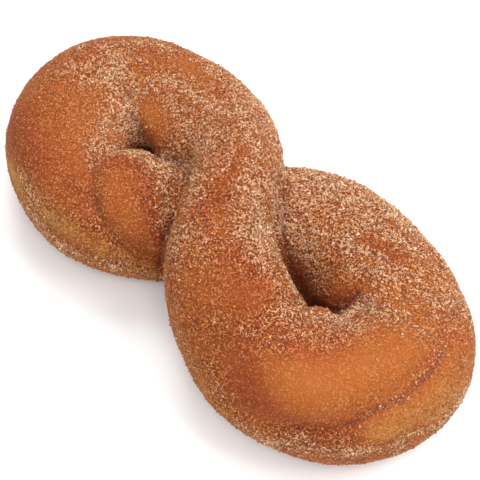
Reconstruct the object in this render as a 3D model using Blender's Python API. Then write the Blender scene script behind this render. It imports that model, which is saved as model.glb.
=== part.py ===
"""A twisted doughnut: one rope of raised dough, twisted along its length, laid in a
figure of eight and fried, so that the rope is one body where it crosses itself.

Metres, +Z up. The long axis of the eight is X, and the origin is on the surface that the
doughnut lies on, under the middle of its outline.
"""

import math
from collections import namedtuple

import bmesh
import bpy
import numpy as np
from mathutils import Matrix, Vector, noise

MM = 0.001
NAME = "twisted_doughnut"

# The rope's centreline, station by station, the way it was laid: over the crossing, round
# the near lobe, under the crossing, and back round the far lobe. Lengths are in
# millimetres. wide and tall are half the rope's width and height.
Station = namedtuple("Station", "x y z wide tall")
ROPE = (
    Station(-25.6, 17.3, 21.0, 14.1, 14.2),
    Station(-13.2, 11.8, 26.0, 11.8, 13.5),
    Station(-0.9, -3.9, 29.0, 12.1, 13.5),
    Station(9.3, -14.0, 24.5, 15.2, 14.5),
    Station(18.1, -18.0, 19.5, 15.9, 15.5),
    Station(30.4, -19.3, 16.0, 16.9, 15.8),
    Station(42.4, -15.8, 15.5, 17.4, 15.8),
    Station(51.4, -6.0, 15.5, 17.4, 15.8),
    Station(52.7, 5.5, 15.5, 16.3, 15.8),
    Station(45.6, 13.2, 15.5, 15.6, 15.5),
    Station(34.6, 16.1, 15.5, 16.1, 15.5),
    Station(24.2, 18.4, 15.0, 15.7, 15.2),
    Station(13.3, 18.3, 15.0, 15.4, 14.8),
    Station(3.8, 13.4, 14.5, 15.4, 14.0),
    Station(-8.5, 2.8, 12.5, 15.6, 13.0),
    Station(-19.9, -7.7, 14.0, 15.6, 14.0),
    Station(-30.5, -15.0, 15.2, 15.5, 15.4),
    Station(-41.5, -17.0, 15.5, 15.9, 15.5),
    Station(-52.7, -13.0, 15.5, 16.3, 15.2),
    Station(-60.0, -4.0, 15.5, 17.2, 15.2),
    Station(-60.6, 5.8, 15.5, 17.4, 15.2),
    Station(-55.4, 13.8, 15.5, 17.0, 15.2),
    Station(-47.0, 17.8, 16.0, 16.2, 15.2),
    Station(-36.6, 18.7, 18.0, 15.5, 15.0),
)
SQUARE = 2.3  # the rope's section is a little fuller than an ellipse, which is 2

# Folds in the skin, and swells where a fold's depth is below zero. A fold's path is a row
# of (station, angle, depth): where it is along the rope, counted in stations, where it is
# round the rope, in degrees from the right-hand side over the top, and how deep it is in
# millimetres. reach is how far to each side the skin rolls down into it.
Fold = namedtuple("Fold", "reach path")
FOLDS = (
    # The twist's fold along the outside of the near lobe.
    Fold(
        6.0,
        (
            (5.0, 6, 0.8), (5.7, 14, 2.0), (6.3, 32, 2.8), (6.9, 51, 3.2), (7.5, 59, 3.2),
            (8.1, 61, 2.8), (8.5, 46, 1.6), (9.0, 26, 0.7), (9.8, 0, 0.4), (10.6, -30, 0.0),
        ),
    ),
    # The shallow valley that leads into it, down the band's outer side.
    Fold(
        13.0,
        (
            (2.6, 84, 0.0), (3.4, 72, 1.2), (4.0, 56, 2.0), (4.6, 42, 2.2), (5.2, 30, 2.2),
            (5.8, 20, 1.6), (6.3, 26, 0.0),
        ),
    ),
    # The same fold where it comes out from under the crossing, climbs over the far lobe and
    # drops into its hole.
    Fold(
        7.0,
        (
            (13.8, 204, 0.0), (14.6, 186, 3.2), (15.2, 167, 3.4), (15.8, 150, 3.4),
            (16.15, 130, 3.0), (16.4, 112, 2.8), (16.65, 90, 2.8), (16.75, 66, 3.2),
            (16.65, 42, 3.2), (16.4, 20, 2.5), (16.0, 0, 0.0),
        ),
    ),
    # A shallow branch of it, out to the far lobe's end.
    Fold(7.0, ((16.2, 126, 1.2), (16.55, 117, 1.2), (16.95, 123, 0.8), (17.4, 130, 0.0))),
    # The crevice where the band presses into the strand below, on its right and its left.
    Fold(
        5.0,
        (
            (24.7, -14, 0.0), (25.1, -13, 3.0), (25.6, -10, 3.5), (26.3, -8, 3.5),
            (26.9, -14, 3.0), (27.3, -20, 0.0),
        ),
    ),
    Fold(5.0, ((25.2, 178, 0.0), (25.7, 186, 2.0), (26.4, 190, 2.0), (27.2, 186, 0.0))),
    # Wrinkles across the band's top.
    Fold(3.5, ((2.2, 48, 0.0), (2.1, 66, 1.1), (2.08, 84, 1.1), (2.1, 98, 0.8), (2.0, 112, 0.0))),
    Fold(4.5, ((2.1, 84, 0.6), (2.3, 78, 1.0), (2.5, 70, 0.8), (2.7, 64, 0.0))),
    # The band narrows on the side of the near lobe's hole.
    Fold(9.0, ((1.9, 150, 0.0), (2.4, 150, 0.4), (2.8, 150, 1.1), (3.2, 150, 0.8), (3.8, 146, 0.0))),
    # The near lobe's inner edge stands up round its hole, with a nick in it.
    Fold(
        8.0,
        (
            (4.9, 142, 0.0), (5.2, 142, -2.0), (5.8, 142, -1.8), (6.6, 144, -1.0),
            (7.4, 146, -2.0), (7.9, 148, -2.2), (8.4, 150, 0.0),
        ),
    ),
    Fold(5.0, ((6.2, 104, 0.0), (6.3, 126, 1.8), (6.35, 150, 2.2), (6.3, 180, 0.0))),
    Fold(4.5, ((4.6, 124, 0.0), (4.7, 140, 1.6), (4.8, 155, 2.0), (4.8, 180, 0.0))),
    # The far lobe's near strand has an upright edge beside its hole.
    Fold(
        6.0,
        (
            (14.4, 76, 0.0), (14.75, 66, -2.4), (15.1, 54, -1.6), (15.5, 45, -1.0),
            (16.0, 44, -1.0), (16.4, 46, 0.0),
        ),
    ),
    # That strand is flatter towards the band, with an edge down the flat's side.
    Fold(
        5.0,
        (
            (15.95, 48, 0.0), (15.65, 66, -0.7), (15.4, 90, -0.9), (15.25, 112, -0.9),
            (15.1, 138, -0.8), (15.1, 155, 0.0),
        ),
    ),
    Fold(
        5.0,
        ((15.1, 70, 0.0), (15.05, 90, 1.0), (15.0, 110, 1.3), (14.95, 130, 1.0), (14.95, 150, 0.0)),
    ),
    # The far lobe swells over the far side of its hole.
    Fold(
        15.0,
        (
            (21.2, 44, 0.0), (22.0, 41, -2.8), (22.9, 38, -3.4), (23.7, 28, -4.2),
            (24.3, 21, -5.0), (24.8, 18, -4.0), (25.4, 12, 0.0),
        ),
    ),
    # Both lobes draw in under their holes' edges, and the near one swells below its far edge.
    Fold(13.0, ((15.8, -8, 0.0), (16.5, -8, 3.0), (17.3, -8, 0.0))),
    Fold(13.0, ((22.0, -8, 0.0), (22.7, -8, 3.0), (23.4, -8, 0.0))),
    Fold(
        11.0, ((6.4, 200, 0.0), (7.2, 198, 3.0), (8.2, 196, 3.5), (9.2, 194, 3.0), (10.0, 196, 0.0))
    ),
    Fold(12.0, ((10.6, 214, 0.0), (11.4, 212, -2.6), (12.6, 210, -2.6), (13.4, 208, 0.0))),
)

# Dough that the lobes' tight bends squeezed up into their holes' ends: the middle and the
# three radii of each swell.
Swell = namedtuple("Swell", "x y z along across high")
SWELLS = (Swell(-49.8, 2.6, 17.0, 9.8, 9.8, 11.5),)

RINGS = 240
SIDES = 72
FOLD_STEPS = 40  # points along a fold for each row of its path
VOXEL = 0.8
SMOOTHINGS = 3

# Lumps that the dough kept from rising and frying: (size, height).
LUMPS = ((24.0, 0.5), (9.0, 0.22))

REST = 1.2  # how much the underside is pressed flat
LEVEL = 0.02  # corners this close above the flat are pressed onto it too
TRIANGLES = 9400


def closed_curve(rows):
    """A function of station number that runs smoothly through the rows and closes."""
    rows = np.array(rows, float)
    n = len(rows)
    gap = np.linalg.norm(np.roll(rows, -1, axis=0)[:, :3] - rows[:, :3], axis=1)
    before = np.roll(gap, 1)
    system = np.zeros((n, n))
    for i in range(n):
        system[i, i - 1] = before[i]
        system[i, i] = 2 * (before[i] + gap[i])
        system[i, (i + 1) % n] = gap[i]
    slope = (np.roll(rows, -1, axis=0) - rows) / gap[:, None]
    bend = np.linalg.solve(system, 6 * (slope - np.roll(slope, 1, axis=0)))

    def at(station):
        i = np.floor(station).astype(int) % n
        j = (i + 1) % n
        b = (station - np.floor(station))[:, None]
        a = 1 - b
        curl = ((a**3 - a) * bend[i] + (b**3 - b) * bend[j]) * gap[i][:, None] ** 2 / 6
        return a * rows[i] + b * rows[j] + curl

    return at


def fold_depth(station, along, angle, radius):
    """How far in the folds draw the skin, in millimetres, for each ring and side."""
    total = along[-1]
    depth = np.zeros((len(station), len(angle)))
    for fold in FOLDS:
        path = np.array(fold.path, float)
        fine = np.linspace(0, 1, FOLD_STEPS * len(path))
        knot = np.linspace(0, 1, len(path))
        where, turn, deep = (np.interp(fine, knot, path[:, k]) for k in range(3))
        place = np.interp(where % len(ROPE), station, along)
        gap = np.abs(along[:, None] - place[None, :])
        gap = np.minimum(gap, total - gap)
        nearest = np.full(depth.shape, fold.reach)
        drawn = np.zeros(depth.shape)
        for k in range(len(fine)):
            turned = np.angle(np.exp(1j * (angle - math.radians(turn[k]))))
            away = np.hypot(gap[:, k][:, None], turned[None, :] * radius)
            closer = away < nearest
            nearest = np.where(closer, away, nearest)
            drawn = np.where(closer, deep[k], drawn)
        depth += drawn * (1 - nearest / fold.reach) ** 2
    return depth


def rope_points():
    """The skin of the rope, ring by ring, in millimetres."""
    at = closed_curve(ROPE)
    station = np.arange(RINGS) * len(ROPE) / RINGS
    line = at(station)
    centre, wide, tall = line[:, :3], line[:, 3:4], line[:, 4:5]
    nudge = 0.05
    ahead = at(station + nudge)[:, :3] - at(station - nudge)[:, :3]
    right = np.cross(ahead, (0, 0, 1))
    right /= np.linalg.norm(right, axis=1)[:, None]
    up = np.cross(right, ahead)
    up /= np.linalg.norm(up, axis=1)[:, None]
    angle = np.arange(SIDES) * 2 * math.pi / SIDES
    across, high = np.cos(angle), np.sin(angle)
    full = (np.abs(across) ** SQUARE + np.abs(high) ** SQUARE) ** (-1 / SQUARE)
    out = (across * full)[None, :, None] * right[:, None, :] * wide[:, :, None]
    out = out + (high * full)[None, :, None] * up[:, None, :] * tall[:, :, None]
    pace = np.linalg.norm(ahead, axis=1) / (2 * nudge)
    along = np.cumsum(pace) * len(ROPE) / RINGS
    depth = fold_depth(station, along, angle, (wide + tall) / 2)
    size = np.linalg.norm(out, axis=2)
    return centre[:, None, :] + out * (1 - depth / size)[:, :, None]


def rope_mesh():
    """The rope as one closed tube, which passes through itself where it crosses."""
    skin = rope_points().reshape(-1, 3) * MM
    faces = []
    for i in range(RINGS):
        ahead = (i + 1) % RINGS
        for j in range(SIDES):
            over = (j + 1) % SIDES
            faces.append((i * SIDES + j, i * SIDES + over, ahead * SIDES + over, ahead * SIDES + j))
    mesh = bpy.data.meshes.new(NAME)
    mesh.from_pydata(skin.tolist(), [], faces)
    return mesh


def add_swells(mesh):
    """Adds each swell as a ball of dough, partly in the rope."""
    body = bmesh.new()
    body.from_mesh(mesh)
    for s in SWELLS:
        place = Matrix.LocRotScale(
            Vector((s.x, s.y, s.z)) * MM, None, Vector((s.along, s.across, s.high)) * MM
        )
        bmesh.ops.create_icosphere(body, subdivisions=4, radius=1, matrix=place)
    body.to_mesh(mesh)
    body.free()


def apply_modifiers(obj):
    """Makes the object's modified shape its mesh."""
    bpy.context.view_layer.update()
    graph = bpy.context.evaluated_depsgraph_get()
    old = obj.data
    new = bpy.data.meshes.new_from_object(obj.evaluated_get(graph))
    obj.modifiers.clear()
    obj.data = new
    bpy.data.meshes.remove(old)
    new.name = NAME


def fuse(obj):
    """Makes one body of the tube where it passes through itself."""
    remesh = obj.modifiers.new("fuse", "REMESH")
    remesh.mode = "VOXEL"
    remesh.voxel_size = VOXEL * MM
    smooth = obj.modifiers.new("soften", "SMOOTH")
    smooth.factor = 0.5
    smooth.iterations = SMOOTHINGS
    apply_modifiers(obj)


def raise_lumps(mesh):
    """Swells and sinks the skin gently, as risen dough does."""
    normals = [v.normal.copy() for v in mesh.vertices]
    for vertex, normal in zip(mesh.vertices, normals):
        place = vertex.co / MM
        lift = sum(height * noise.noise(place / size) for size, height in LUMPS)
        vertex.co += normal * lift * MM


def thin(obj, triangles):
    """Leaves about this many triangles, the most where the skin bends most."""
    decimate = obj.modifiers.new("thin", "DECIMATE")
    decimate.ratio = triangles / (2 * len(obj.data.polygons))
    decimate.use_collapse_triangulate = True
    apply_modifiers(obj)


def press_flat(mesh, floor):
    """Presses whatever is below this height up to it."""
    for vertex in mesh.vertices:
        vertex.co.z = max(vertex.co.z, floor)


def settle(mesh):
    """Puts the origin under the middle of the outline, on the surface that it lies on."""
    corners = [tuple(v.co) for v in mesh.vertices]
    low, high = np.min(corners, axis=0), np.max(corners, axis=0)
    middle = Vector(((low[0] + high[0]) / 2, (low[1] + high[1]) / 2, low[2]))
    for vertex in mesh.vertices:
        vertex.co -= middle


def fried_dough():
    material = bpy.data.materials.new("fried_dough")
    material.use_nodes = True
    shader = material.node_tree.nodes["Principled BSDF"]
    shader.inputs["Base Color"].default_value = (0.42, 0.15, 0.045, 1)
    shader.inputs["Roughness"].default_value = 0.6
    shader.inputs["Metallic"].default_value = 0.0
    return material


def main():
    for obj in list(bpy.data.objects):
        bpy.data.objects.remove(obj)
    doughnut = bpy.data.objects.new(NAME, rope_mesh())
    add_swells(doughnut.data)
    bpy.context.scene.collection.objects.link(doughnut)
    fuse(doughnut)
    raise_lumps(doughnut.data)
    floor = min(v.co.z for v in doughnut.data.vertices) + REST * MM
    press_flat(doughnut.data, floor)
    thin(doughnut, TRIANGLES)
    press_flat(doughnut.data, floor + LEVEL * MM)
    settle(doughnut.data)
    doughnut.data.materials.append(fried_dough())
    doughnut.data.shade_smooth()


main()
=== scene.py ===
"""The looks of a twisted doughnut: fried dough under cinnamon sugar.

The dough's skin is a finer copy of its solid, with the small relief that the solid leaves
out. The sugar is crystals at true size, scattered over it.
"""

import math
from collections import namedtuple

import bpy
import numpy as np
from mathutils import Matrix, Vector, noise
from mathutils.bvhtree import BVHTree
from mathutils.kdtree import KDTree


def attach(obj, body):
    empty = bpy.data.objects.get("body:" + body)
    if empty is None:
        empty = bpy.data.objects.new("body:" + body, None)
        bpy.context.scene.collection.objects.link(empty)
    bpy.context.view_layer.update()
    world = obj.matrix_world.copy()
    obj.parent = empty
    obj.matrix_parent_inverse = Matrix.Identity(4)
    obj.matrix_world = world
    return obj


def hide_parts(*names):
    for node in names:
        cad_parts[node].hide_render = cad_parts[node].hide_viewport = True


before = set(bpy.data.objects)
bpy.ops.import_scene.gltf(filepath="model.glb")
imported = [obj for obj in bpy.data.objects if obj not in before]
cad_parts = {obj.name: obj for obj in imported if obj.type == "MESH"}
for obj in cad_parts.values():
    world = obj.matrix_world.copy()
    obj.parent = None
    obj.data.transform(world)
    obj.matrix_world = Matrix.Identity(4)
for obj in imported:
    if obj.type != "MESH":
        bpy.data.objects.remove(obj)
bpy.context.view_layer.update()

MM = 0.001
NODE = "twisted_doughnut"

# The photograph's view. Lengths are in millimetres.
PHOTO = 480  # its width and height in pixels
AZIMUTH = math.radians(46)
ELEVATION = math.radians(55)
DISTANCE = 390.0
PIXEL = 0.257  # a pixel's size at that distance
AIM = np.array((4.278, 0.760, 13.835))
AIM_PIXEL = (240, 248)
SENSOR = 36.0

# What stands round the doughnut, in metres: the floor, the lamps and the sky's strength. A
# lamp's place is measured from the doughnut, as the camera sees it.
FLOOR_HALF = 1.5
Lamp = namedtuple("Lamp", "name right toward up power")
LAMPS = (
    Lamp("front", 0.0, 0.55, 0.75, 4.3),
    Lamp("back", 0.0, -0.55, 0.75, 5.0),
    Lamp("side", 0.55, 0.1, 0.7, 4.1),
)
LAMP_SIZE = 0.5
SKY_STRENGTH = 0.66

# The skin.
VOXEL = 0.62
SOFTEN = 22  # rounds of smoothing that take the solid's facets away
BROAD = 52  # rounds more, to tell what is a ridge and what a valley
RIDGES = 0.35  # how much further ridges stand out
VALLEYS = 1.3  # how much deeper valleys go
LUMPS = ((5.0, 0.10), (1.6, 0.035))  # (size, height)

# Marks on the dough are placed by the pixels where the photograph shows them. Each is cast
# onto the skin, so that it lies there from any side.
CREASE_ENDS = 0.12  # the share of a crease's length over which each end fades out
CREASE_WAVER = 0.35  # how far its width varies
# (depth, width, spice, path): a groove, and how dark the cinnamon that it holds makes it.
Crease = namedtuple("Crease", "depth width spice path")
CREASES = (
    # The twist's fold, round the near lobe.
    Crease(0.6, 0.7, 0.85, ((330, 429), (347, 424), (361, 417), (373, 411), (386, 405), (401, 397),
                            (413, 389), (424, 379), (434, 367), (444, 352), (452, 341))),
    # Its other end, over the far lobe beside the bulge.
    Crease(0.55, 1.6, 0.15, ((95, 160), (91, 171), (91, 182), (92, 195), (95, 207))),
    Crease(0.5, 0.8, 0.45, ((93, 198), (96, 206), (99, 214), (104, 223), (109, 230))),
    Crease(0.45, 1.4, 0.15, ((104, 224), (116, 238), (126, 245), (137, 254), (148, 263))),
    # The crevices round the bulge, under the far strand and under the band.
    Crease(1.3, 1.1, 0.6, ((134, 147), (142, 150), (150, 152), (158, 155), (167, 159), (176, 163),
                           (186, 167))),
    Crease(1.3, 1.0, 0.7, ((189, 172), (188, 186), (184, 200), (176, 216), (170, 228), (164, 243),
                            (161, 257), (160, 275))),
    # The crevice down the band's other side.
    Crease(1.0, 0.7, 0.6, ((283, 180), (283, 190), (283, 208), (283, 229), (286, 250), (291, 268),
                           (299, 285), (306, 297), (314, 304))),
    # The edge of the bulge's flatter side.
    Crease(0.15, 0.9, 0.0, ((130, 149), (139, 163), (145, 176), (149, 190), (152, 205),
                            (156, 221), (157, 236))),
    # Wrinkles on the band.
    Crease(0.25, 0.7, 0.3, ((192, 206), (200, 202), (209, 200), (219, 202), (228, 203), (243, 199))),
    Crease(0.2, 0.6, 0.1, ((222, 205), (217, 212), (210, 220), (205, 230), (200, 245))),
    # The near lobe's inner edge, and the notch in it.
    Crease(2.2, 1.4, 0.9, ((296, 296), (301, 303), (306, 308), (312, 308))),
    Crease(1.4, 1.1, 0.9, ((306, 306), (315, 304), (325, 308), (333, 311), (341, 307), (349, 301),
                           (356, 295), (363, 292))),
    Crease(0.9, 0.9, 0.5, ((330, 309), (333, 314), (336, 319))),
)

# (start, end, width, amount): a streak between two pixels, this many millimetres wide.
Streak = namedtuple("Streak", "start end width amount")
SUGAR = (
    # The far lobe's top and the saddle beside its hole.
    Streak((117, 58), (120, 90), 3.2, 0.6),
    Streak((70, 70), (110, 62), 3.5, 0.45),
    Streak((88, 82), (112, 78), 2.6, 0.4),
    Streak((80, 48), (150, 42), 2.0, 0.4),
    Streak((135, 85), (180, 85), 3.0, 0.4),
    Streak((140, 60), (212, 88), 1.0, 0.5),
    Streak((158, 74), (230, 114), 1.0, 0.55),
    Streak((172, 66), (240, 108), 0.9, 0.4),
    Streak((122, 106), (130, 124), 3.8, 0.95),
    Streak((108, 118), (98, 150), 3.2, 0.5),
    Streak((94, 150), (92, 166), 1.6, 0.6),
    # The bulge's top edge and its flatter side.
    Streak((112, 149), (150, 156), 1.8, 1.0),
    Streak((146, 156), (186, 169), 3.2, 1.0),
    Streak((150, 163), (176, 175), 1.8, 0.5),
    Streak((128, 138), (150, 146), 2.2, 0.5),
    Streak((150, 176), (172, 190), 3.0, 0.1),
    Streak((164, 188), (166, 225), 3.2, 0.3),
    # The lower edge of the far lobe.
    Streak((18, 172), (34, 200), 2.6, 0.4),
    Streak((62, 216), (110, 240), 3.0, 0.2),
    Streak((20, 200), (60, 246), 2.0, 0.5),
    Streak((60, 246), (110, 268), 2.2, 0.35),
    Streak((110, 264), (160, 278), 2.0, 0.4),
    # Its far edge, round to the crossing.
    Streak((150, 42), (215, 68), 2.6, 0.3),
    Streak((215, 68), (262, 105), 3.6, 0.5),
    Streak((262, 105), (283, 160), 3.6, 0.55),
    # The band's top.
    Streak((175, 100), (200, 140), 6.0, 0.3),
    Streak((205, 100), (260, 118), 7.0, 0.25),
    Streak((205, 130), (250, 145), 6.0, 0.25),
    Streak((245, 95), (262, 160), 5.0, 0.3),
    Streak((196, 150), (192, 180), 3.0, 0.25),
    Streak((190, 190), (183, 235), 2.2, 0.35),
    Streak((180, 235), (175, 265), 2.4, 0.2),
    Streak((205, 160), (240, 175), 6.0, 0.3),
    Streak((192, 190), (206, 200), 3.0, 0.35),
    Streak((188, 240), (240, 250), 6.0, 0.3),
    # The band's middle and its right-hand edge.
    Streak((250, 172), (275, 190), 5.0, 0.55),
    Streak((246, 196), (262, 240), 3.8, 0.75),
    Streak((232, 228), (250, 236), 2.8, 0.4),
    Streak((262, 215), (271, 248), 1.8, 0.8),
    Streak((252, 248), (258, 264), 2.0, 0.1),
    Streak((273, 180), (276, 240), 2.0, 0.7),
    Streak((274, 250), (303, 306), 2.0, 0.85),
    Streak((262, 256), (280, 290), 2.6, 0.3),
    # The valley down its left side.
    Streak((214, 320), (222, 400), 3.0, 0.15),
    Streak((180, 335), (192, 365), 2.5, 0.1),
    Streak((180, 290), (210, 320), 5.0, 0.05),
    # The near lobe's far strand.
    Streak((288, 210), (294, 255), 2.4, 0.4),
    Streak((298, 235), (322, 288), 3.5, 0.6),
    Streak((292, 172), (345, 180), 6.0, 1.0),
    Streak((345, 180), (400, 215), 5.4, 1.0),
    Streak((400, 215), (445, 262), 4.0, 0.85),
    Streak((445, 262), (466, 310), 3.5, 0.55),
    Streak((292, 195), (350, 200), 5.0, 0.7),
    Streak((290, 215), (350, 238), 6.0, 0.35),
    Streak((355, 215), (385, 235), 4.0, 0.25),
    Streak((365, 240), (440, 292), 8.0, 0.5),
    Streak((425, 305), (452, 335), 4.0, 0.15),
    # Lines across it.
    Streak((352, 232), (404, 262), 1.3, 0.6),
    Streak((345, 246), (410, 280), 1.2, 0.6),
    Streak((372, 222), (418, 250), 1.3, 0.6),
    Streak((350, 268), (402, 300), 1.3, 0.35),
    Streak((380, 270), (430, 300), 1.3, 0.6),
    # The near lobe's inner edge, with streaks out from it.
    Streak((268, 314), (290, 318), 3.0, 0.5),
    Streak((292, 310), (328, 322), 3.0, 0.7),
    Streak((336, 318), (350, 312), 2.2, 0.85),
    Streak((352, 307), (374, 301), 2.0, 0.85),
    Streak((366, 302), (396, 320), 2.0, 0.6),
    Streak((350, 318), (366, 330), 1.6, 0.5),
    Streak((340, 320), (380, 346), 1.2, 0.5),
    Streak((366, 306), (404, 336), 1.2, 0.6),
    Streak((384, 298), (424, 332), 1.2, 0.5),
    Streak((370, 308), (398, 332), 3.0, 0.35),
    Streak((262, 335), (300, 345), 2.4, 0.15),
    Streak((300, 335), (345, 340), 3.0, 0.4),
    Streak((244, 330), (252, 332), 1.6, 0.6),
    Streak((270, 342), (284, 350), 1.8, 0.6),
    Streak((318, 352), (330, 350), 1.4, 0.5),
    # The bottom of the near lobe, and what the fold holds.
    Streak((240, 425), (300, 440), 2.5, 0.35),
    Streak((255, 440), (345, 455), 2.6, 0.5),
    Streak((345, 452), (400, 448), 2.0, 0.55),
    Streak((300, 430), (340, 436), 2.4, 0.3),
    Streak((400, 440), (440, 424), 1.6, 0.5),
    Streak((440, 424), (468, 390), 2.0, 0.6),
    Streak((360, 418), (404, 396), 0.9, 0.6),
    Streak((404, 396), (448, 344), 1.1, 0.4),
    Streak((416, 378), (424, 376), 1.1, 0.4),
    # Its right-hand end.
    Streak((400, 355), (450, 360), 10.0, 0.08),
    Streak((370, 425), (440, 400), 5.0, 0.1),
)
# Where the sugar is knocked off, and where less of it stands for painted shade on the near lobe's
# rim.
BARE = (
    Streak((18, 110), (62, 165), 9.0, 0.45),
    Streak((10, 125), (14, 175), 4.0, 0.8),
    Streak((12, 175), (24, 205), 2.4, 0.5),
    Streak((150, 112), (158, 134), 3.0, 0.7),
    Streak((180, 62), (202, 78), 3.0, 0.45),
    Streak((150, 60), (225, 98), 1.2, 0.5),
    Streak((160, 84), (226, 122), 1.2, 0.4),
    Streak((116, 184), (138, 235), 3.4, 0.6),
    Streak((130, 240), (158, 258), 3.0, 0.6),
    Streak((112, 164), (136, 168), 1.6, 0.5),
    Streak((244, 150), (216, 196), 1.8, 0.7),
    Streak((212, 204), (222, 236), 2.0, 0.4),
    Streak((234, 196), (246, 206), 2.0, 0.5),
    Streak((192, 262), (216, 340), 5.0, 0.35),
    Streak((232, 255), (242, 300), 4.0, 0.5),
    Streak((288, 250), (308, 296), 3.0, 0.2),
    Streak((318, 302), (346, 299), 1.6, 0.8),
    Streak((310, 284), (348, 290), 4.0, 0.2),
    Streak((360, 240), (404, 258), 1.2, 0.7),
    Streak((358, 254), (412, 286), 1.1, 0.6),
    Streak((362, 284), (396, 306), 1.3, 0.6),
    Streak((372, 240), (400, 258), 2.2, 0.6),
    Streak((376, 318), (396, 340), 1.3, 0.6),
    Streak((270, 372), (300, 392), 7.0, 0.8),
    Streak((300, 385), (390, 356), 9.0, 0.85),
    Streak((372, 426), (440, 396), 5.0, 0.4),
    Streak((428, 272), (454, 335), 7.0, 0.15),
    Streak((62, 220), (100, 242), 3.4, 0.5),
    # Less sugar here as painted shade on the near lobe's rim.
    Streak((300, 312), (322, 316), 3.0, 0.3),
    Streak((262, 306), (302, 314), 5.0, 0.25),
    Streak((338, 226), (372, 232), 4.0, 0.25),
    Streak((262, 168), (282, 186), 4.0, 0.3),
    Streak((262, 410), (330, 424), 5.0, 0.6),
    Streak((232, 360), (262, 412), 5.0, 0.75),
)
# Where the dough is browned more than its middle tone, and where painted shade darkens it in the
# holes, in the pit and under the near lobe.
BROWN_AND_SHADE = (
    Streak((14, 120), (24, 160), 6.0, 0.8),
    Streak((30, 80), (60, 55), 5.0, 0.5),
    Streak((80, 45), (180, 48), 4.0, 0.5),
    Streak((112, 160), (138, 164), 2.6, 0.8),
    Streak((141, 172), (158, 236), 1.8, 1.0),
    Streak((170, 182), (168, 225), 3.0, 0.5),
    Streak((70, 186), (88, 196), 2.2, 0.7),
    Streak((140, 245), (156, 268), 3.0, 0.7),
    Streak((198, 212), (203, 230), 2.2, 0.7),
    Streak((236, 160), (214, 200), 3.0, 0.5),
    Streak((232, 198), (246, 204), 2.4, 0.7),
    Streak((200, 216), (222, 232), 4.0, 0.3),
    Streak((234, 255), (245, 300), 4.0, 0.4),
    Streak((262, 250), (268, 236), 2.0, 0.5),
    Streak((240, 340), (250, 400), 5.0, 0.6),
    Streak((255, 405), (300, 425), 4.0, 0.6),
    Streak((300, 428), (352, 432), 2.6, 0.7),
    # Painted shade on the near lobe's underside.
    Streak((280, 442), (350, 450), 3.0, 0.7),
    Streak((190, 270), (214, 320), 5.0, 0.25),
    Streak((205, 320), (224, 395), 4.0, 0.5),
    # Painted shade down into the near lobe's hole.
    Streak((298, 280), (314, 303), 2.2, 1.0),
    Streak((318, 300), (348, 298), 2.2, 0.9),
    # Painted shade in the far lobe's pit.
    Streak((137, 130), (150, 146), 2.4, 0.9),
    Streak((30, 110), (50, 160), 7.0, 0.25),
    # Painted shade on the near lobe's rim, which faces away from the light.
    Streak((300, 312), (336, 324), 3.0, 0.8),
    Streak((370, 240), (400, 262), 2.4, 0.7),
    Streak((320, 188), (360, 190), 2.4, 0.6),
    Streak((280, 330), (300, 340), 3.0, 0.4),
    Streak((40, 220), (90, 262), 2.6, 0.5),
)
# Where it is paler and more orange, with less dark between the grains: the dough's own tone in
# places, and painted light on the near lobe's bright front and on the slope into the far lobe's pit.
ORANGE_AND_LIGHT = (
    Streak((62, 130), (82, 160), 5.0, 0.3),
    # Painted light on the slope down into the far lobe's pit.
    Streak((116, 104), (128, 134), 7.0, 0.9),
    Streak((82, 72), (130, 86), 7.0, 0.4),
    Streak((96, 122), (94, 148), 5.0, 0.4),
    Streak((100, 200), (125, 220), 4.0, 0.5),
    Streak((150, 110), (165, 118), 4.0, 0.6),
    Streak((180, 62), (205, 80), 4.0, 0.6),
    Streak((222, 215), (228, 236), 2.6, 0.5),
    # Painted light on the near lobe's bright front and right-hand end.
    Streak((304, 384), (400, 370), 8.0, 1.0),
    Streak((345, 404), (420, 374), 6.0, 0.7),
    Streak((380, 432), (440, 400), 5.0, 1.0),
    Streak((396, 290), (408, 330), 3.0, 0.8),
    Streak((432, 280), (452, 335), 7.0, 0.6),
    Streak((400, 352), (440, 384), 6.0, 0.7),
    Streak((180, 280), (200, 300), 4.0, 0.4),
    Streak((430, 345), (465, 372), 6.0, 0.9),
    Streak((380, 345), (430, 370), 8.0, 0.8),
)
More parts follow.
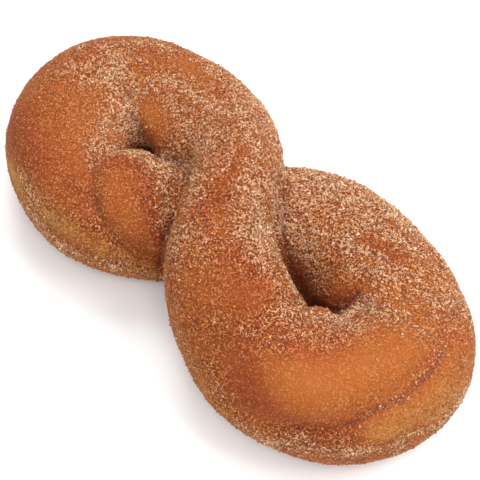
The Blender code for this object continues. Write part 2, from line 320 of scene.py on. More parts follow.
# Where dough and sugar alike are redder.
RED = (
    Streak((106, 110), (128, 132), 5.0, 0.15),
    Streak((22, 115), (45, 160), 7.0, 0.5),
    Streak((60, 170), (110, 215), 7.0, 0.35),
    Streak((102, 160), (124, 160), 2.4, 1.0),
    Streak((136, 164), (145, 190), 1.8, 0.9),
    Streak((145, 190), (155, 225), 2.2, 0.9),
    Streak((155, 225), (157, 262), 2.6, 0.9),
    Streak((134, 138), (156, 148), 2.2, 1.0),
    Streak((70, 75), (100, 45), 3.0, 0.5),
    Streak((140, 50), (190, 62), 3.0, 0.4),
    Streak((150, 100), (170, 90), 3.0, 0.3),
    Streak((185, 115), (200, 118), 2.2, 0.5),
    Streak((215, 80), (235, 92), 2.0, 0.5),
    Streak((256, 100), (264, 130), 2.2, 0.7),
    Streak((270, 130), (280, 160), 1.6, 0.5),
    Streak((236, 150), (248, 176), 2.4, 0.6),
    Streak((222, 150), (214, 200), 2.6, 0.7),
    Streak((196, 206), (216, 212), 2.6, 0.8),
    Streak((205, 212), (208, 240), 2.4, 0.6),
    Streak((267, 180), (268, 205), 1.6, 0.7),
    Streak((279, 205), (280, 232), 1.4, 0.8),
    Streak((262, 235), (262, 270), 1.6, 0.6),
    Streak((236, 250), (262, 285), 4.0, 0.6),
    Streak((250, 290), (285, 340), 4.5, 0.6),
    Streak((240, 330), (250, 400), 4.0, 0.5),
    Streak((285, 345), (330, 362), 3.5, 0.7),
    Streak((330, 340), (342, 346), 2.2, 0.7),
    Streak((236, 380), (262, 404), 3.5, 0.8),
    Streak((262, 404), (310, 425), 3.0, 0.7),
    Streak((310, 425), (365, 428), 3.0, 0.6),
    Streak((330, 455), (350, 458), 2.0, 0.6),
    Streak((365, 418), (420, 392), 2.0, 0.6),
    Streak((420, 385), (445, 345), 2.6, 0.7),
    Streak((445, 335), (470, 340), 2.4, 0.7),
    Streak((285, 250), (310, 300), 3.0, 1.0),
    Streak((300, 262), (318, 290), 3.0, 0.6),
    Streak((320, 300), (345, 296), 3.0, 1.0),
    Streak((340, 335), (352, 345), 2.0, 0.6),
    Streak((375, 330), (395, 345), 2.0, 0.5),
    Streak((365, 240), (400, 262), 2.0, 0.5),
    Streak((410, 235), (440, 262), 2.0, 0.5),
    Streak((385, 262), (410, 280), 1.6, 0.4),
    Streak((345, 190), (356, 192), 2.0, 0.8),
    Streak((300, 188), (318, 190), 1.6, 0.5),
    Streak((310, 205), (330, 210), 2.0, 0.4),
    Streak((170, 270), (171, 290), 1.6, 0.8),
    Streak((180, 300), (184, 330), 2.0, 0.4),
)
# The line that the fat didn't reach, where the dough stayed pale.
PALE = (
    Streak((8, 166), (24, 186), 2.6, 1.0),
    Streak((20, 184), (44, 214), 3.0, 1.0),
    Streak((14, 196), (42, 232), 2.6, 0.7),
    Streak((44, 214), (66, 228), 2.6, 0.95),
    Streak((42, 236), (84, 264), 2.6, 0.5),
    Streak((66, 228), (104, 252), 2.6, 0.5),
    Streak((90, 268), (150, 280), 2.0, 0.5),
    Streak((104, 252), (154, 274), 2.2, 0.6),
    Streak((174, 320), (204, 390), 1.6, 0.5),
    Streak((204, 390), (240, 428), 1.6, 0.5),
    Streak((460, 292), (472, 330), 1.6, 0.6),
    Streak((440, 418), (468, 388), 3.2, 0.9),
    Streak((372, 432), (400, 436), 2.0, 0.4),
    Streak((395, 425), (445, 398), 5.0, 0.3),
    Streak((240, 428), (272, 444), 1.6, 0.6),
)

# The sides that the photograph doesn't show: how much sugar lies there, the size of its
# drifts, and the height, width and wander of the pale line.
FAR_SUGAR = 0.5
FAR_DRIFTS = (14.0, 4.5)
LINE_HEIGHT = 15.0
LINE_WIDTH = 4.0
LINE_WANDER = 3.5
# How strong a tone is there, how far it varies, the size of its patches, and a shift that
# keeps them off those of the others.
Tone = namedtuple("Tone", "level swing size shift")
FAR_BROWN = Tone(0.35, 0.8, 16.0, 5.0)
FAR_ORANGE = Tone(0.2, 0.9, 13.0, 9.0)
FAR_RED = Tone(0.3, 1.2, 8.0, 13.0)

# The sugar. count is how many crystals, and small and large are their sizes in millimetres.
Kind = namedtuple("Kind", "name count small large sides lift tone")
KINDS = (
    Kind("sugar_coarse", 9000, 0.36, 0.54, "block", 0.35, "sugar"),
    Kind("sugar_medium", 33000, 0.30, 0.46, "chip", 0.35, "sugar"),
    Kind("sugar_fine", 49000, 0.22, 0.34, "shard", 0.40, "sugar"),
    Kind("sugar_dust", 49000, 0.16, 0.24, "shard", 0.40, "sugar"),
    Kind("cinnamon_specks", 12000, 0.16, 0.32, "shard", 0.30, "cinnamon"),
)
STRETCH = (0.65, 1.1)  # how far a crystal is drawn out along each of its own axes
KNOCKED = 0.22  # how far its corners are off their even places
LIFTS = (0.2, 1.8)  # how its height over the dough varies
LOWEST = 0.05  # the least height of a crystal's corner over the ground
CLUMPS = ((0.6, 2.2), (4.0, 0.6))  # (size, strength) of the clumps that the sugar lies in
DRAGS = ((7.0, 1.0), 0.5)  # the length and width of the lines in it, and how strong they are
DRAG_WAY = math.radians(-32)  # how the lines run in the photograph
SPARSE = 0.17  # how much sugar lies where no streak does
SEED = 11


def view_axes():
    """The camera's right, up and back directions."""
    level = math.cos(ELEVATION)
    back = np.array((math.sin(AZIMUTH) * level, -math.cos(AZIMUTH) * level, math.sin(ELEVATION)))
    right = np.array((math.cos(AZIMUTH), math.sin(AZIMUTH), 0.0))
    return right, np.cross(back, right), back


RIGHT, UP, BACK = view_axes()
EYE = AIM + DISTANCE * BACK
FOCAL = DISTANCE / PIXEL  # in pixels


def smooth_step(low, high, value):
    """0 below low, 1 above high, and an even rise between them."""
    t = np.clip((value - low) / (high - low), 0, 1)
    return t * t * (3 - 2 * t)


def noise_at(spots, size, octaves=1, shift=0.0):
    """Smooth noise between about -1 and 1, with lumps this many millimetres across."""
    return np.array([noise.fractal(Vector(p), 1.0, 2.0, octaves) for p in spots / size + shift])


def on_skin(tree, pixel):
    """The point of the dough at a pixel, or the nearest one if the pixel just misses it."""
    across = (pixel[0] - AIM_PIXEL[0]) / FOCAL
    down = (pixel[1] - AIM_PIXEL[1]) / FOCAL
    direction = Vector(RIGHT * across - UP * down - BACK)
    place = tree.ray_cast(Vector(EYE), direction)[0]
    return place or tree.find_nearest(Vector(EYE) + direction * DISTANCE)[0]


def traced(tree, path, step):
    """Points on the dough along a path of pixels, this many pixels apart."""
    points = []
    for start, end in zip(path, path[1:]):
        count = max(1, round(math.dist(start, end) / step))
        for k in range(count + 1):
            points.append(on_skin(tree, np.array(start) + (np.array(end) - start) * k / count))
    return np.array(points)


def coverage(tree, spots, streaks):
    """How much of the dough the streaks cover at each spot, from 0 to 1."""
    bare = np.ones(len(spots))
    for streak in streaks:
        away = np.full(len(spots), np.inf)
        for place in traced(tree, (streak.start, streak.end), 4.0):
            away = np.minimum(away, ((spots - place) ** 2).sum(axis=1))
        bare *= 1 - streak.amount * np.exp(-away / streak.width**2)
    return 1 - bare


def crease_depth(tree, spots):
    """How far in the creases draw the skin, and how much cinnamon lies there, from 0 to 1."""
    depth = np.zeros(len(spots))
    near = np.zeros(len(spots))
    waver = 1 + CREASE_WAVER * noise_at(spots, 2.0, 2)
    for crease in CREASES:
        line = traced(tree, crease.path, 1.5)
        finder = KDTree(len(line))
        for k, place in enumerate(line):
            finder.insert(place, k)
        finder.balance()
        away = np.full(len(spots), np.inf)
        place_in_line = np.zeros(len(spots))
        middle = (line.min(axis=0) + line.max(axis=0)) / 2
        reach = (line.max(axis=0) - line.min(axis=0)) / 2 + 4 * crease.width
        for i in np.flatnonzero((np.abs(spots - middle) < reach).all(axis=1)):
            _, k, away[i] = finder.find(spots[i])
            place_in_line[i] = k / (len(line) - 1)
        ends = smooth_step(0, CREASE_ENDS, place_in_line)
        ends *= smooth_step(0, CREASE_ENDS, 1 - place_in_line)
        groove = np.exp(-((away / (crease.width * waver)) ** 2)) * ends
        depth += crease.depth * groove
        near = np.maximum(near, crease.spice * groove)
    return depth, near


def neighbour_mean(edges, count, places):
    """The mean of each point's neighbours."""
    both = np.concatenate((edges, edges[:, ::-1]))
    number = np.bincount(both[:, 0], minlength=count)
    sums = [np.bincount(both[:, 0], places[both[:, 1], k], count) for k in range(3)]
    return np.stack(sums, axis=1) / number[:, None]


def softened(mesh, places, times):
    """The places after each has moved halfway to its neighbours' mean, this many times."""
    edges = np.empty(2 * len(mesh.edges), int)
    mesh.edges.foreach_get("vertices", edges)
    edges = edges.reshape(-1, 2)
    for _ in range(times):
        places = (places + neighbour_mean(edges, len(places), places)) / 2
    return places


def places_of(mesh, what="co"):
    """The mesh's points, or their normals, as rows of three numbers."""
    numbers = np.empty(3 * len(mesh.vertices))
    mesh.vertices.foreach_get(what, numbers)
    return numbers.reshape(-1, 3)


def set_places(mesh, places):
    mesh.vertices.foreach_set("co", places.ravel())
    mesh.update()


def paint(mesh, name, values):
    """Stores a number for each of the mesh's points, for its material."""
    layer = mesh.attributes.new(name, "FLOAT", "POINT")
    layer.data.foreach_set("value", values.astype(np.float32))


def fine_mesh(node):
    """The node's solid as one mesh of small even faces."""
    rough = bpy.data.objects.new("rough", node.data.copy())
    bpy.context.scene.collection.objects.link(rough)
    remesh = rough.modifiers.new("even", "REMESH")
    remesh.mode = "VOXEL"
    remesh.voxel_size = VOXEL * MM
    bpy.context.view_layer.update()
    graph = bpy.context.evaluated_depsgraph_get()
    mesh = bpy.data.meshes.new_from_object(rough.evaluated_get(graph))
    bpy.data.objects.remove(rough)
    mesh.name = "dough_skin"
    mesh.materials.clear()
    return mesh


def patches(spots, tone):
    """How strong a tone is at each spot, from 0 to 1."""
    return np.clip(tone.level + tone.swing * noise_at(spots, tone.size, 2, tone.shift), 0, 1)


def far_side(spots, normals):
    """Sugar, tones and pale line for the sides that the photograph doesn't show."""
    drifts = sum(noise_at(spots, size, 2, size) for size in FAR_DRIFTS)
    # Less of the sugar stays on underneath.
    upward = 0.35 + 0.65 * smooth_step(-0.6, 0.3, normals[:, 2])
    sugar = np.clip(FAR_SUGAR + 0.6 * drifts, 0.06, 0.9) * upward
    tones = [patches(spots, tone) for tone in (FAR_BROWN, FAR_ORANGE, FAR_RED)]
    # The pale line runs round the outside, and not in the holes.
    height = LINE_HEIGHT + LINE_WANDER * noise_at(spots, 30.0, 2, 3.0)
    line = np.exp(-(((spots[:, 2] - height) / LINE_WIDTH) ** 2))
    outward = (normals[:, :2] * spots[:, :2] * (0.3, 1)).sum(axis=1)
    pale = line * smooth_step(2, 14, outward) * np.clip(0.7 + 0.8 * noise_at(spots, 9.0, 2), 0, 1)
    return [sugar, *tones, pale]


def dough_skin(node):
    """The dough: its solid's form with fine relief, and the marks that its material reads."""
    mesh = fine_mesh(node)
    spots = softened(mesh, places_of(mesh) / MM, SOFTEN)
    broad = softened(mesh, spots, BROAD)
    set_places(mesh, spots * MM)
    normals = places_of(mesh, "normal")
    hollow = ((broad - spots) * normals).sum(axis=1)
    spots = spots - normals * np.where(hollow > 0, VALLEYS * hollow, RIDGES * hollow)[:, None]
    set_places(mesh, spots * MM)
    normals = places_of(mesh, "normal")
    faces = [tuple(p.vertices) for p in mesh.polygons]
    tree = BVHTree.FromPolygons(spots.tolist(), faces)

    # The streaks count on the sides that the photograph shows.
    shown = smooth_step(-0.35, -0.05, normals @ BACK)
    marks = [coverage(tree, spots, streaks) for streaks in (SUGAR, BROWN_AND_SHADE, ORANGE_AND_LIGHT, RED, PALE)]
    marks[0] = 1 - (1 - SPARSE) * (1 - marks[0])
    marks[0] *= 1 - coverage(tree, spots, BARE)
    sugar, brown_and_shade, orange_and_light, red, pale = (
        far + (near - far) * shown for far, near in zip(far_side(spots, normals), marks)
    )
    depth, crease = crease_depth(tree, spots)

    # The underside, where it lies on the ground, stays flat.
    relief = sum(height * noise_at(spots, size, 2) for size, height in LUMPS)
    rest = smooth_step(0.0, 1.5, spots[:, 2])
    spots = spots + normals * ((relief - depth) * rest)[:, None]
    spots[:, 2] = np.maximum(spots[:, 2], 0)
    set_places(mesh, spots * MM)

    sugar = sugar * clumped(spots)
    painted = {
        "sugar": sugar,
        "brown_and_shade": brown_and_shade,
        "orange_and_light": orange_and_light,
        "red": red,
        "pale": pale,
        "crease": crease,
        # hollow marks the valleys, where the material paints shade.
        "hollow": smooth_step(0.1, 0.9, hollow),
    }
    for name, values in painted.items():
        paint(mesh, name, values)
    mesh.shade_smooth()
    skin = bpy.data.objects.new("dough_skin", mesh)
    bpy.context.scene.collection.objects.link(skin)
    mesh.materials.append(dough_material())
    return skin, sugar, red


def block_shape():
    """A crystal with six faces, as points and triangles."""
    points = [(x, y, z) for x in (-1, 1) for y in (-1, 1) for z in (-1, 1)]
    sides = ((0, 1, 3, 2), (4, 6, 7, 5), (0, 4, 5, 1), (2, 3, 7, 6), (0, 2, 6, 4), (1, 5, 7, 3))
    halves = [(a, b, c) for a, b, c, d in sides] + [(a, c, d) for a, b, c, d in sides]
    return np.array(points) / 2, np.array(halves)


def shard_shape():
    """A splinter with four faces, as points and triangles."""
    points = ((1, 1, 1), (1, -1, -1), (-1, 1, -1), (-1, -1, 1))
    sides = ((0, 1, 2), (0, 3, 1), (0, 2, 3), (1, 3, 2))
    return np.array(points) * 0.42, np.array(sides)


def chip_shape():
    """A speck with six faces, as points and triangles."""
    ring = [(math.cos(turn), math.sin(turn), 0) for turn in (0, math.tau / 3, 2 * math.tau / 3)]
    edges = ((0, 1), (1, 2), (2, 0))
    sides = [(a, b, 3) for a, b in edges] + [(b, a, 4) for a, b in edges]
    return np.array(ring + [(0, 0, 0.8), (0, 0, -0.8)]) * 0.6, np.array(sides)


SHAPES = {"block": block_shape(), "shard": shard_shape(), "chip": chip_shape()}


def random_turns(rng, count):
    """This many rotation matrices, each turned any way."""
    q = rng.normal(size=(count, 4))
    w, x, y, z = (q / np.linalg.norm(q, axis=1)[:, None]).T
    rows = (
        (1 - 2 * (y * y + z * z), 2 * (x * y - z * w), 2 * (x * z + y * w)),
        (2 * (x * y + z * w), 1 - 2 * (x * x + z * z), 2 * (y * z - x * w)),
        (2 * (x * z - y * w), 2 * (y * z + x * w), 1 - 2 * (x * x + y * y)),
    )
    return np.stack([np.stack(row, axis=1) for row in rows], axis=1)


def clumped(places):
    """How the sugar's clumps and lines change its density at each place."""
    along = RIGHT * math.cos(DRAG_WAY) + UP * math.sin(DRAG_WAY)
    (length, width), strength = DRAGS
    dragged = places / width + (places @ along)[:, None] * along * (1 / length - 1 / width)
    clumps = 1 + strength * noise_at(dragged, 1.0, 1, 60.0)
    clumps += sum(strength * noise_at(places, size, 1, 20.0) for size, strength in CLUMPS)
    return np.clip(clumps, 0.12, 2)


def scattered(rng, mesh, density, count, gap):
    """Places on the mesh, chosen by density and rarely nearer than gap, with their normals
    and the three points of the mesh round each."""
    mesh.calc_loop_triangles()
    corners = np.empty(3 * len(mesh.loop_triangles), int)
    mesh.loop_triangles.foreach_get("vertices", corners)
    corners = corners.reshape(-1, 3)
    spots = places_of(mesh) / MM
    a, b, c = (spots[corners[:, k]] for k in range(3))
    square = np.cross(b - a, c - a)
    area = np.linalg.norm(square, axis=1)
    weight = area * density[corners].mean(axis=1)
    chosen = rng.choice(len(corners), 2 * count, p=weight / weight.sum())
    u, v = rng.random((2, len(chosen)))
    over = u + v > 1
    u, v = np.where(over, 1 - u, u), np.where(over, 1 - v, v)
    places = a[chosen] + (b - a)[chosen] * u[:, None] + (c - a)[chosen] * v[:, None]
    cells = np.floor(places / gap).astype(int)
    _, first = np.unique(cells, axis=0, return_index=True)
    kept = rng.permutation(first)[:count]
    chosen = chosen[kept]
    return places[kept], (square / area[:, None])[chosen], corners[chosen]


def grains(rng, kind, skin, density, red):
    """One piece that holds all the crystals of a kind, each at its true size."""
    points, sides = SHAPES[kind.sides]
    middle = (kind.small + kind.large) / 2
    places, normals, near = scattered(rng, skin.data, density, kind.count, middle)
    bed = density[near].mean(axis=1)
    count = len(places)
    size = rng.uniform(kind.small, kind.large, (count, 1, 1))
    stretch = rng.uniform(*STRETCH, (count, 1, 3))
    knocked = points[None] * (1 + rng.uniform(-KNOCKED, KNOCKED, (count, len(points), 3)))
    corners = np.einsum("nij,nkj->nki", random_turns(rng, count), knocked * size * stretch)
    lift = normals * (size[:, 0] * kind.lift * rng.uniform(*LIFTS, (count, 1)) * bed[:, None])
    corners = corners + (places + lift)[:, None, :]
    corners[..., 2] = np.maximum(corners[..., 2], LOWEST)
    faces = sides[None] + len(points) * np.arange(count)[:, None, None]

    mesh = bpy.data.meshes.new(kind.name)
    mesh.vertices.add(count * len(points))
    mesh.vertices.foreach_set("co", (corners * MM).ravel())
    mesh.loops.add(faces.size)
    mesh.loops.foreach_set("vertex_index", faces.ravel())
    mesh.polygons.add(faces.size // 3)
    mesh.polygons.foreach_set("loop_start", np.arange(0, faces.size, 3))
    mesh.update(calc_edges=True)
    mesh.validate()
    paint(mesh, "tint", np.repeat(rng.random(count), len(points)))
    paint(mesh, "bed", np.repeat(bed, len(points)))
    paint(mesh, "red", np.repeat(red[near].mean(axis=1), len(points)))
    ground = mesh.attributes.new("ground", "FLOAT_VECTOR", "POINT")
    normals = np.repeat(normals, len(points), axis=0).astype(np.float32)
    ground.data.foreach_set("vector", normals.ravel())
    mesh.materials.append(GRAIN_MATERIALS[kind.tone]())
    piece = bpy.data.objects.new(kind.name, mesh)
    bpy.context.scene.collection.objects.link(piece)
    return piece


class Shader:
    """A material with a Principled BSDF, whose nodes are added one by one."""

    def __init__(self, name):
        self.material = bpy.data.materials.new(name)
        self.material.use_nodes = True
        self.tree = self.material.node_tree
        self.surface = self.tree.nodes["Principled BSDF"]

    def node(self, kind, inputs=None, **settings):
        """Adds a node. Each input is a number, a colour or another node's output."""
        made = self.tree.nodes.new(kind)
        for name, value in settings.items():
            setattr(made, name, value)
        for name, value in (inputs or {}).items():
            self.feed(made.inputs[name], value)
        return made

    def feed(self, socket, value):
        if isinstance(value, bpy.types.NodeSocket):
            self.tree.links.new(value, socket)
        else:
            socket.default_value = value

    def attribute(self, name):
        return self.node("ShaderNodeAttribute", attribute_name=name).outputs["Fac"]

    def maths(self, operation, first, second=0.0, third=0.0, clamp=False):
        return self.node(
            "ShaderNodeMath", {0: first, 1: second, 2: third}, operation=operation, use_clamp=clamp
        ).outputs[0]

    def rise(self, value, low, high):
        """0 where the value is below low, 1 above high."""
        inputs = {"Value": value, "From Min": low, "From Max": high}
        return self.node("ShaderNodeMapRange", inputs, interpolation_type="SMOOTHSTEP").outputs[0]

    def mix(self, amount, first, second):
        """The first colour where the amount is 0, and the second where it is 1."""
        made = self.node("ShaderNodeMix", data_type="RGBA")
        self.feed(made.inputs["Factor"], amount)
        self.feed(made.inputs[6], first)
        self.feed(made.inputs[7], second)
        return made.outputs[2]

    def reddened(self, base):
        """The colour made redder where the dough is."""
        made = self.node("ShaderNodeMix", data_type="RGBA", blend_type="MULTIPLY")
        self.feed(made.inputs["Factor"], self.attribute("red"))
        self.feed(made.inputs[6], base)
        self.feed(made.inputs[7], REDDER)
        return made.outputs[2]

    def millimetres(self):
        """The place on the object, in millimetres."""
        place = self.node("ShaderNodeTexCoord").outputs["Object"]
        inputs = {0: place, "Scale": 1 / MM}
        return self.node("ShaderNodeVectorMath", inputs, operation="SCALE").outputs[0]

    def moved(self, place, distance):
        """The place moved, so that two noises there differ."""
        inputs = {0: place, 1: (distance, distance, distance)}
        return self.node("ShaderNodeVectorMath", inputs, operation="ADD").outputs[0]

    def noise(self, place, size, detail=2.0, roughness=0.5):
        """Noise from 0 to 1 with lumps this many millimetres across."""
        inputs = {"Vector": place, "Scale": 1 / size, "Detail": detail, "Roughness": roughness}
        return self.node("ShaderNodeTexNoise", inputs).outputs["Fac"]

    def leaning(self, amount):
        """The crystal's own normal, leant this far towards the normal of the dough under it."""
        own = self.node("ShaderNodeNewGeometry").outputs["Normal"]
        ground = self.node("ShaderNodeAttribute", attribute_name="ground").outputs["Vector"]
        leant = self.node("ShaderNodeMix", data_type="VECTOR")
        self.feed(leant.inputs["Factor"], amount)
        self.feed(leant.inputs[4], own)
        self.feed(leant.inputs[5], ground)
        inputs = {0: leant.outputs[1]}
        return self.node("ShaderNodeVectorMath", inputs, operation="NORMALIZE").outputs[0]

    def grit(self, place, sugar):
        """Above 0 where the sugar clings, which is at more places where there is more of it."""
        clings = self.noise(self.moved(place, 60.0), GRIT_LUMPS, 3.0, 0.75)
        inputs = {"Vector": place, "Scale": 1 / GRIT_SPECKS}
        specks = self.node("ShaderNodeTexVoronoi", inputs).outputs["Distance"]
        clings = self.maths("ADD", clings, self.maths("MULTIPLY_ADD", specks, -0.4, 0.2))
        level = self.maths("MULTIPLY_ADD", sugar, -GRIT_FALL, GRIT_LEVEL)
        return self.maths("SUBTRACT", clings, level)

    def bump(self, height, distance):
        """The normal for a height that is this many millimetres at most."""
        inputs = {"Height": height, "Distance": distance * MM, "Strength": 1.0}
        return self.node("ShaderNodeBump", inputs).outputs["Normal"]


def colour(red, green, blue):
    return (red, green, blue, 1.0)


DOUGH = colour(0.33, 0.079, 0.0135)
DOUGH_BROWN_AND_SHADE = colour(0.21, 0.040, 0.010)
DOUGH_ORANGE_AND_LIGHT = colour(0.395, 0.111, 0.0195)
DOUGH_PALE = colour(0.53, 0.295, 0.07)
DOUGH_PINK = colour(0.42, 0.125, 0.040)
DOUGH_GAP_SHADE_AND_SPICE = colour(0.13, 0.022, 0.003)
DUST = colour(0.73, 0.44, 0.255)
DUST_THIN = colour(0.61, 0.238, 0.078)
CINNAMON = colour(0.17, 0.042, 0.024)
REDDER = colour(0.99, 0.83, 0.90)

CRYSTAL_STAINED = colour(0.22, 0.052, 0.015)
CRYSTAL_TAN = colour(0.58, 0.26, 0.12)
CRYSTAL_SAND = colour(0.81, 0.50, 0.295)
CRYSTAL_CREAM = colour(0.93, 0.70, 0.49)
CRYSTAL_GAP_SHADE_AND_SPICE = colour(0.20, 0.040, 0.009)
CRYSTAL_CLOUD = colour(0.42, 0.16, 0.06)
# A clear crystal takes the dough's colour, more or less of it.
CLEAR_DARK = colour(0.36, 0.10, 0.028)
CLEAR_LIGHT = colour(0.74, 0.33, 0.135)

BARK_DARK = colour(0.13, 0.035, 0.015)
BARK_LIGHT = colour(0.30, 0.08, 0.03)
BARK_FIBRES = colour(0.05, 0.02, 0.012)

FLOOR_DARK = colour(0.90, 0.90, 0.90)
FLOOR_LIGHT = colour(0.94, 0.94, 0.94)
SKY = colour(1.0, 0.99, 0.98)

SPECULAR = 0.1  # dough and dusty sugar shine less than most things
# The size of the lumps and of the specks of sugar that cling, in millimetres, the level of
# noise from which it clings, and how far that falls where there is most of it.
GRIT_LUMPS = 0.65
GRIT_SPECKS = 0.5
GRIT_LEVEL = 0.57
GRIT_FALL = 0.12


def dough_material():
    """Fried dough, browned unevenly and pale along its line, with sugar dust, cinnamon, painted
    shade and painted light.
    """
    make = Shader("fried_dough")
    place = make.millimetres()
    cloud = make.noise(place, 9.0, 4.0)
    mottle = make.noise(place, 1.1, 3.0, 0.6)
    blotch = make.noise(make.moved(place, 20.0), 3.0, 3.0, 0.6)

    # The dough's own tones, with painted light in some of the orange streaks, painted shade in some
    # of the brown streaks, and painted shade in the hollows.
    toned = make.mix(make.rise(cloud, 0.35, 0.7), DOUGH, make.mix(0.45, DOUGH, DOUGH_ORANGE_AND_LIGHT))
    toned = make.mix(make.attribute("orange_and_light"), toned, DOUGH_ORANGE_AND_LIGHT)
    toned = make.mix(make.maths("MULTIPLY", make.rise(blotch, 0.42, 0.62), 0.45), toned, DOUGH_PINK)
    browned_and_shaded = make.maths("MULTIPLY", make.attribute("brown_and_shade"), make.rise(mottle, 0.1, 0.6))
    toned = make.mix(browned_and_shaded, toned, DOUGH_BROWN_AND_SHADE)
    paled = make.maths("MULTIPLY", make.attribute("pale"), make.rise(mottle, 0.2, 0.6))
    toned = make.mix(paled, toned, DOUGH_PALE)
    # Painted shade in the hollows.
    painted_shade = make.maths("MULTIPLY", make.attribute("hollow"), 0.4)
    toned = make.mix(painted_shade, toned, DOUGH_BROWN_AND_SHADE)

    # The gaps between the grains, dark with cinnamon and with painted shade between the grains, the
    # film of dust, and the cinnamon in the creases.
    sugar = make.attribute("sugar")
    over = make.grit(place, sugar)
    dark = make.maths("MULTIPLY_ADD", sugar, 2.2, 0.22, clamp=True)
    # Fewer dark gaps where the orange streaks paint light.
    gap_share = make.maths("MULTIPLY_ADD", make.attribute("orange_and_light"), -0.55, 1.0)
    gap_shade_and_spice = make.maths("MULTIPLY", make.rise(over, 0.01, -0.03), dark)
    toned = make.mix(make.maths("MULTIPLY", gap_shade_and_spice, gap_share), toned, DOUGH_GAP_SHADE_AND_SPICE)
    dusted = make.rise(over, 0.0, 0.03)
    dust = make.mix(make.rise(sugar, 0.2, 0.9), DUST_THIN, DUST)
    film = make.maths("MULTIPLY", dusted, make.maths("MULTIPLY_ADD", sugar, 0.95, 0.36, clamp=True))
    toned = make.mix(film, toned, dust)
    spiced = make.maths("MULTIPLY", make.attribute("crease"), make.rise(mottle, 0.2, 0.6))
    toned = make.mix(spiced, toned, CINNAMON)
    make.feed(make.surface.inputs["Base Color"], make.reddened(toned))

    rough = make.maths("MULTIPLY_ADD", sugar, 0.2, 0.6)
    rough = make.maths("MULTIPLY_ADD", mottle, 0.12, rough)
    make.feed(make.surface.inputs["Roughness"], rough)
    make.surface.inputs["Specular IOR Level"].default_value = SPECULAR
    make.feed(make.surface.inputs["Normal"], make.bump(over, 0.5))
    return make.material


def sugar_material():
    """Sugar crystals, clear on bare dough and cream to tan where they lie thick."""
    make = Shader("cinnamon_sugar")
    tint = make.attribute("tint")
    toned = make.mix(make.rise(tint, 0.15, 0.35), CRYSTAL_STAINED, CRYSTAL_TAN)
    toned = make.mix(make.rise(tint, 0.4, 0.8), toned, CRYSTAL_SAND)
    toned = make.mix(make.rise(tint, 0.85, 1.0), toned, CRYSTAL_CREAM)
    clear = make.mix(tint, CLEAR_DARK, CLEAR_LIGHT)
    toned = make.mix(make.rise(make.attribute("bed"), 0.08, 0.5), clear, toned)
    # Crystals in the gaps between the clumps are dark with cinnamon and with painted shade between
    # the clumps.
    place = make.millimetres()
    painted_shade = make.rise(make.grit(place, make.attribute("bed")), 0.02, -0.04)
    toned = make.mix(make.maths("MULTIPLY", painted_shade, 0.85), toned, CRYSTAL_GAP_SHADE_AND_SPICE)
    cloudy = make.noise(place, 0.15)
    toned = make.mix(make.maths("MULTIPLY", cloudy, 0.2), toned, CRYSTAL_CLOUD)
    make.feed(make.surface.inputs["Base Color"], make.reddened(toned))
    make.feed(make.surface.inputs["Roughness"], make.maths("MULTIPLY_ADD", cloudy, 0.3, 0.3))
    make.surface.inputs["Specular IOR Level"].default_value = SPECULAR
    make.surface.inputs["Subsurface Weight"].default_value = 1.0
    make.surface.inputs["Subsurface Radius"].default_value = (1.0, 0.8, 0.6)
    make.surface.inputs["Subsurface Scale"].default_value = 0.4 * MM
    make.feed(make.surface.inputs["Normal"], make.leaning(0.5))
    return make.material


def cinnamon_material():
    """Ground cinnamon bark."""
    make = Shader("ground_cinnamon")
    tint = make.attribute("tint")
    toned = make.mix(tint, BARK_DARK, BARK_LIGHT)
    fibre = make.noise(make.millimetres(), 0.08)
    toned = make.mix(make.maths("MULTIPLY", fibre, 0.3), toned, BARK_FIBRES)
    make.feed(make.surface.inputs["Base Color"], toned)
    make.feed(make.surface.inputs["Roughness"], make.maths("MULTIPLY_ADD", fibre, 0.2, 0.7))
    return make.material


def made_once(maker):
    """A function that makes a material the first time and gives the same one again."""
    made = []

    def give():
        if not made:
            made.append(maker())
        return made[0]

    return give


GRAIN_MATERIALS = {"sugar": made_once(sugar_material), "cinnamon": made_once(cinnamon_material)}


def floor_material():
    make = Shader("pale_floor")
    drift = make.noise(make.millimetres(), 60.0, 3.0)
    toned = make.mix(drift, FLOOR_DARK, FLOOR_LIGHT)
    make.feed(make.surface.inputs["Base Color"], toned)
    make.surface.inputs["Roughness"].default_value = 0.9
    return make.material


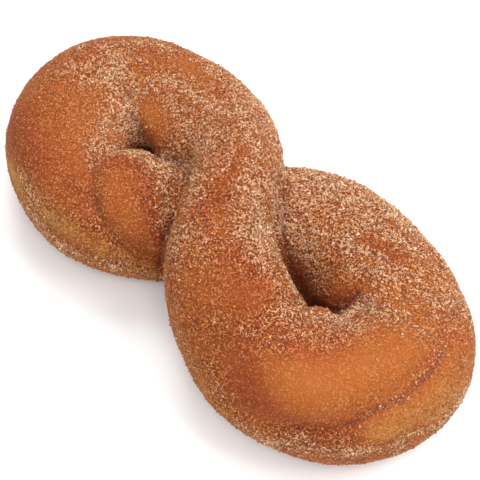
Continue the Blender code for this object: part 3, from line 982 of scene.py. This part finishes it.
def add_floor():
    """A plain pale floor, far wider than the view."""
    corners = [(x * FLOOR_HALF, y * FLOOR_HALF, 0) for x, y in ((-1, -1), (1, -1), (1, 1), (-1, 1))]
    mesh = bpy.data.meshes.new("floor")
    mesh.from_pydata(corners, [], [(0, 1, 2, 3)])
    mesh.materials.append(floor_material())
    floor = bpy.data.objects.new("floor", mesh)
    bpy.context.scene.collection.objects.link(floor)


def aimed(name, data, place):
    """An object at a place in metres that looks at the doughnut."""
    thing = bpy.data.objects.new(name, data)
    target = Vector(AIM) * MM
    thing.location = place
    thing.rotation_euler = (Vector(place) - target).to_track_quat("Z", "Y").to_euler()
    bpy.context.scene.collection.objects.link(thing)
    return thing


def add_camera():
    data = bpy.data.cameras.new("camera")
    data.sensor_width = SENSOR
    data.lens = FOCAL / PHOTO * SENSOR
    data.shift_x = (PHOTO / 2 - AIM_PIXEL[0]) / PHOTO
    data.shift_y = (AIM_PIXEL[1] - PHOTO / 2) / PHOTO
    data.clip_start = 0.01
    data.clip_end = 10
    bpy.context.scene.camera = aimed("camera", data, Vector(EYE) * MM)


def add_lamp(lamp):
    """A square soft lamp that shines on the doughnut."""
    level = np.array((math.sin(AZIMUTH), -math.cos(AZIMUTH), 0.0))
    place = RIGHT * lamp.right + level * lamp.toward + np.array((0, 0, lamp.up))
    data = bpy.data.lights.new(lamp.name, "AREA")
    data.size = LAMP_SIZE
    data.energy = lamp.power
    aimed(lamp.name, data, Vector(place))


def add_sky():
    world = bpy.data.worlds.new("studio")
    world.use_nodes = True
    background = world.node_tree.nodes["Background"]
    background.inputs["Color"].default_value = SKY
    background.inputs["Strength"].default_value = SKY_STRENGTH
    bpy.context.scene.world = world


add_camera()
add_floor()
for lamp in LAMPS:
    add_lamp(lamp)
add_sky()
bpy.context.scene.view_settings.view_transform = "Standard"

dough, sugar_cover, redness = dough_skin(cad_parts[NODE])
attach(dough, "root")
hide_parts(NODE)

seeded = np.random.default_rng(SEED)
for kind in KINDS:
    cover = sugar_cover if kind.tone == "sugar" else sugar_cover**2
    piece = grains(seeded, kind, dough, cover, redness)
    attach(piece, "root")
